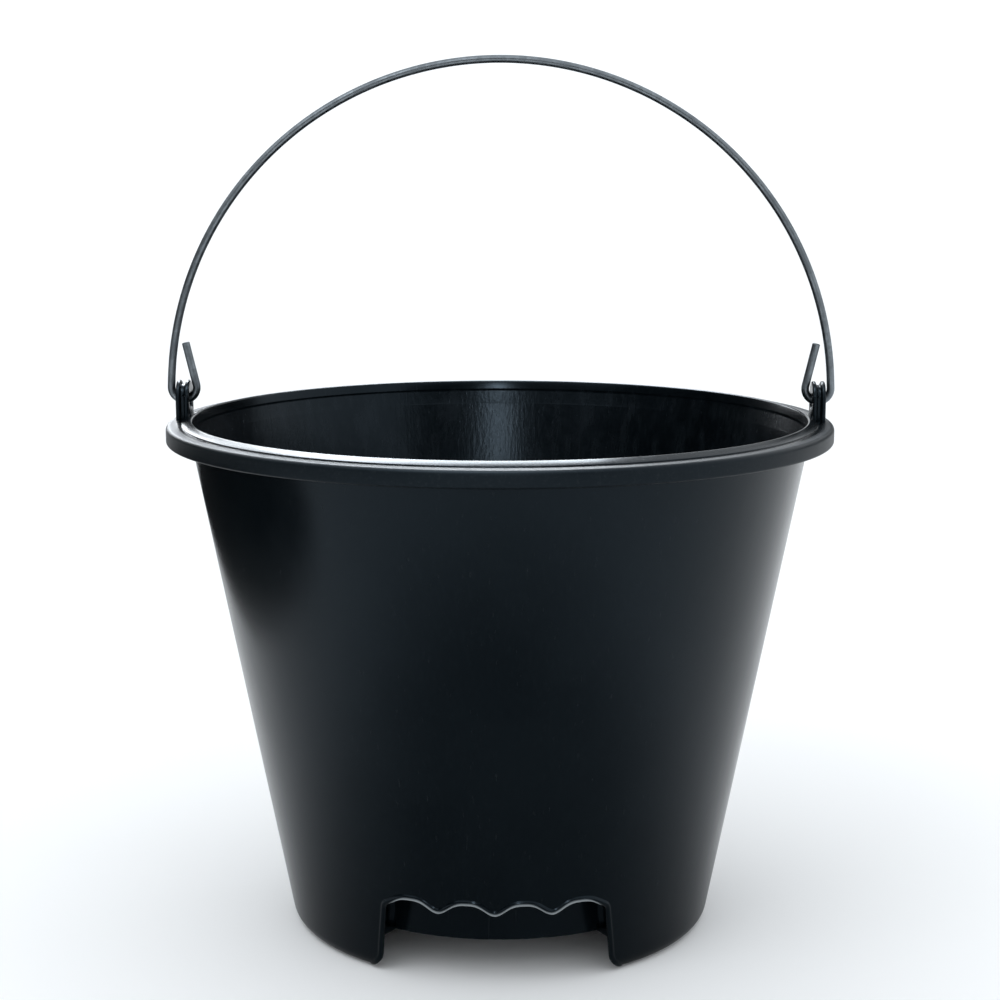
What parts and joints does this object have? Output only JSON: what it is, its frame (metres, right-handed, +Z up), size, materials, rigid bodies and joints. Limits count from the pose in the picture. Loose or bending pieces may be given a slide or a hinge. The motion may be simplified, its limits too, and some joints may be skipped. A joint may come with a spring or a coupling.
{
  "type": "bucket",
  "caption": "Round moulded plastic bucket with a turned-down rim, two upright ears, a scalloped finger grip in its foot and a swinging wire bail.",
  "frame": {"origin": "on the ground at the centre of the foot ring", "axes": "+Z up through the mouth, the finger grip faces -Y, the ears and the bail's pivots lie on the X axis"},
  "size_m": [0.3324, 0.33, 0.4318],
  "materials": {
    "black_plastic": "satin black injection-moulded polypropylene",
    "galvanised_wire": "drawn wire with a dull grey zinc coat"
  },
  "bodies": {
    "bucket": {"bucket": "black_plastic"},
    "bail": {"wire_bail": "galvanised_wire"}
  },
  "joints": [
    {"name": "bail_swing", "type": "hinge", "parent": "bucket", "child": "bail", "pos_m": [0, 0, 0.2632], "axis": [1, 0, 0], "range_deg": [-92, 92]}
  ]
}
